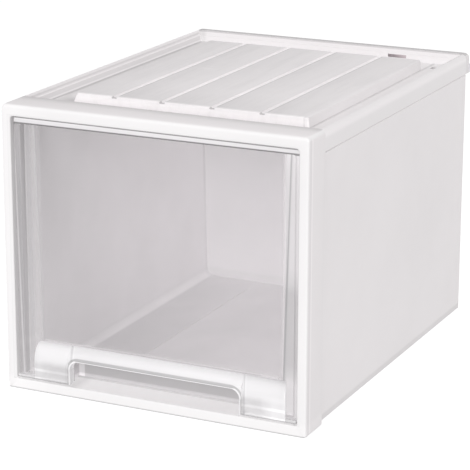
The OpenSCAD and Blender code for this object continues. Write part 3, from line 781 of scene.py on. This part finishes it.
def pull_end(name, side):
    """Rolled end of the pull: the outer edge is rounded, the inside is hollow and open to the back and below."""
    bm = bmesh.new()
    xs = [87.2, 87.25, 87.4, 88.8, 95, 105, 114, 121.6, 123.0, 123.6, 123.9, 124.0]
    ins = [0.3, 0.1, 0.0, 0.0, 0, 0, 0, 0, 0.0, 0.05, 0.2, 0.4]
    rings = []
    for x, d in zip(xs, ins):
        c = [(13 - (12 - d) * math.sin(math.radians(90 * i / 24)), 28 + (17 - d) * math.cos(math.radians(90 * i / 24))) for i in range(25)]
        ring = c + [(1 + d, 20.0), (1 + d, FOOT + 0.5), (1.4 + d, FOOT), (13.0, FOOT)]
        t = (x - 95) / 29 if x > 95 else 0.0
        rings.append([(side * x + t * (1.6 if side < 0 else 0.8 + 4.4 * (13 - y) / 12), y, z) for y, z in ring])
    loft(bm, rings, caps=True)
    o = new_object(name, bm, 30)
    inner = [(14.0, 42.4)] + end_curve(2.2, 20) + [(3.2, 5.0), (14.0, 5.0)]
    a, b = sorted((side * 90.2, side * (119.8 if side < 0 else 121.8)))
    boolean(o, along_x(name + "_tool", inner, a, b), smooth=30)
    me = o.data
    normals = [tuple(n.vector) for n in me.corner_normals]
    for face in me.polygons:
        if face.normal.x * side > 0.6 and abs(face.center.x) > (0.12215 if side < 0 else 0.1232):
            for i in face.loop_indices:
                normals[i] = (side * 0.24, -0.95, 0.2)
    me.normals_split_custom_set(normals)
    return o


pull = []
for side, label in ((-1, "left"), (1, "right")):
    pull.append(pull_end("pull_end_" + label, side))

curve = [(13 + (1 - 13) * t, 45 + (37.3 - 45) * t + 1.3 * 4 * t * (1 - t)) for t in [i / 16 for i in range(16)]]
lip = curve + [(1.30, 37.75), (1.08, 37.5), (1.0, 37.1), (1.0, 34.5), (1.12, 34.14), (1.5, 34.0), (8.3, 34.0), (8.5, 34.2), (8.5, 35.6), (3.4, 35.6), (3.4, 37.4)]
lip += [(4.4 + (13 - 4.4) * t, 38.2 + (42.6 - 38.2) * t + 1.0 * 4 * t * (1 - t)) for t in [i / 10 for i in range(11)]]
pull.append(along_x("pull_lip", lip, -87.3, 87.3, 30, 0.1))

# return round the slot, following its rounded upper corners
bm = bmesh.new()


def slot_path(grow, z_low=FOOT):
    x, t, r = 85.2 + grow, 34 + grow, 8.5 + grow
    pts = [(-x, z_low), (-x, (z_low + t - r) / 2)]
    for i in range(11):
        a = math.radians(180 - 9 * i)
        pts.append((-x + r + r * math.cos(a), t - r + r * math.sin(a)))
    pts += [(-40, t), (0, t), (40, t)]
    for i in range(11):
        a = math.radians(90 - 9 * i)
        pts.append((x - r + r * math.cos(a), t - r + r * math.sin(a)))
    pts += [(x, (z_low + t - r) / 2), (x, z_low)]
    return pts


section = [(0.75, 0.5), (0.95, 0.12), (1.4, 0.0), (8.1, 0.0), (8.5, 0.3), (8.5, 1.5), (8.2, 1.8), (1.3, 1.8), (0.85, 1.6), (0.75, 1.2)]
rings = [[(x, y, z) for x, z in slot_path(g)] for y, g in section]
vs = loft(bm, rings, closed_ring=False, closed_loft=True)
bm.faces.new([ring[0] for ring in vs])
bm.faces.new([ring[-1] for ring in reversed(vs)])
slot_return = new_object("slot_return", bm, 30)
slot_return.data.materials.append(M_RETURN)
pull.append(slot_return)

# web that fills the slot's upper corners
for side, label in ((-1, "left"), (1, "right")):
    c = (side * (85.2 - 8.5), 34 - 8.5)
    arcp = [(c[0] + side * 9.2 * math.cos(math.radians(9 * i)), c[1] + 9.2 * math.sin(math.radians(9 * i))) for i in range(11)]
    out = [(side * 87.8, c[1])] + arcp + [(c[0], 36.0), (side * 87.8, 36.0)]
    bm = bmesh.new()
    loft(bm, [[(x, y, z) for x, z in out] for y in (1.15, 3.2)], caps=True)
    pull.append(new_object("slot_web_" + label, bm, 30))
# low foot that carries the pull's bottom edge on to the frame at both sides
for label, a, b in (("left", -139.6, -122.5), ("right", 129.3, 139.6)):
    bm = bmesh.new()
    slab(bm, (a, 1.4, FOOT), (b, 7.6, 14.2))
    bevel_sharp(bm, 0.4)
    pull.append(new_object("pull_foot_" + label, bm, 30))
    pull[-1].data.materials.append(M_FOOT)
for o in pull:
    if not o.data.materials:
        o.data.materials.append(M_PULL)
    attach(o, "drawer")
    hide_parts("drawer_pull")

# ---------------------------------------------------------------- plain nodes keep their CAD shape
for n, m in {"left_side_panel": M_SIDE, "right_side_panel": M_SIDE, "back_panel": M_SIDE, "base_panel": M_INNER,
             "rear_feet": M_INNER, "left_runner": M_INNER, "right_runner": M_INNER, "drawer_stops": M_INNER,
             "drawer_tray": M_TRAY, "finger_pocket": M_POCKET, "tray_lugs": M_TRAY}.items():
    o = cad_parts[n]
    o.data.materials.clear()
    o.data.materials.append(m)

# thin white and cloudy mouldings pass most of the light that falls on them
for o in [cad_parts[n] for n in ("left_side_panel", "right_side_panel", "back_panel", "base_panel", "rear_feet",
                                      "left_runner", "right_runner", "drawer_stops", "tray_lugs", "finger_pocket")] + [pane] + pull:
    o.visible_shadow = False
    o.visible_diffuse = False
for o in (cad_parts["drawer_tray"], floor_plate, plateau, up, rim):
    o.visible_shadow = False
rim.visible_diffuse = False

# ---------------------------------------------------------------- stage
bm = bmesh.new()
loft(bm, [[(-9000, -9000, 0), (9000, -9000, 0)], [(-9000, 9000, 0), (9000, 9000, 0)]], closed_ring=False)
floor = new_object("floor", bm, None)
f = Mat("floor_white")
f.bsdf.inputs["Base Color"].default_value = (0.36, 0.36, 0.36, 1)
f.bsdf.inputs["Roughness"].default_value = 0.9
f.bsdf.inputs["Specular IOR Level"].default_value = 0.0
f.bsdf.inputs["Emission Color"].default_value = (1, 1, 1, 1)
f.bsdf.inputs["Emission Strength"].default_value = 0.76
floor.data.materials.append(f.m)
floor.visible_diffuse = False

world = bpy.data.worlds.new("world")
scene.world = world
world.use_nodes = True
world.node_tree.nodes["Background"].inputs["Color"].default_value = (1.0, 0.992, 0.994, 1)
world.node_tree.nodes["Background"].inputs["Strength"].default_value = 0.60


def area(name, azimuth, elevation, distance, size, irradiance, colour=(1, 1, 1)):
    """Soft rectangular light; azimuth 0 is in front and positive towards +X. irradiance is what it gives a facing surface, over pi."""
    a, e = math.radians(azimuth), math.radians(elevation)
    d = bpy.data.lights.new(name, "AREA")
    d.shape = "RECTANGLE"
    d.size, d.size_y = size
    d.energy = irradiance * math.pi * math.pi * distance * distance
    d.color = colour
    o = bpy.data.objects.new(name, d)
    scene.collection.objects.link(o)
    o.location = (distance * math.sin(a) * math.cos(e), -distance * math.cos(a) * math.cos(e), 0.13 + distance * math.sin(e))
    aim(o, (0, 0, 0.13))
    return o


area("key", 9, 20, 6.0, (3.8, 2.4), 0.51)
area("side_fill", 80, 45, 5.0, (2.8, 2.2), 0.24)
